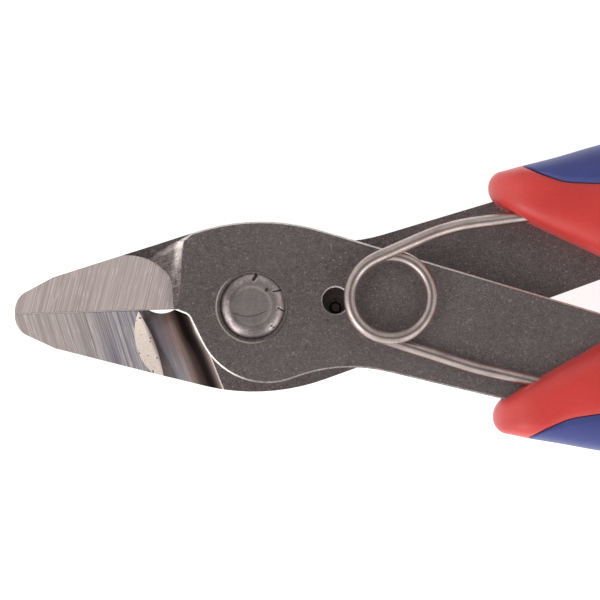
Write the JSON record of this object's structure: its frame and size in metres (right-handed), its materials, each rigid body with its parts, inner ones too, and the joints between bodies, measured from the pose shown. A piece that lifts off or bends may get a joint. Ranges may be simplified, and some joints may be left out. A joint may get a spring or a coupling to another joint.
{
  "type": "diagonal cutting pliers",
  "caption": "Flush cutting nippers for fine wire: two flat lapped steel levers on a rivet, a looped opening spring and two-part grips.",
  "frame": {"origin": "on the pivot's axis, in the plane where the two levers lap", "axes": "+X from the pivot towards the handles, with the jaws at -X; +Y towards the upper handle; +Z out of the front face"},
  "size_m": [0.1253, 0.0408, 0.012],
  "materials": {
    "lever_steel": "tumbled, matt, with bright ground jaw faces",
    "rivet_steel": "polished head with marks of the riveting punch",
    "pin_steel": "plain",
    "spring_wire": "drawn wire, polished",
    "grip_red": "fine moulded grain",
    "grip_blue": "soft, fine moulded grain"
  },
  "bodies": {
    "front_half": {"front_lever": "lever_steel", "pivot_rivet": "rivet_steel", "opening_spring": "spring_wire", "lower_grip_core": "grip_red", "lower_grip_overlay": "grip_blue"},
    "back_half": {"back_lever": "lever_steel", "stop_pin": "pin_steel", "upper_grip_core": "grip_red", "upper_grip_overlay": "grip_blue"}
  },
  "joints": [
    {"name": "pivot", "type": "hinge", "parent": "front_half", "child": "back_half", "pos_m": [0, 0, 0], "axis": [0, 0, 1], "range_deg": [0, 9.5], "stiffness_Nm_per_rad": 1.2, "springref_deg": 20.05, "deforming": ["opening_spring"]}
  ]
}
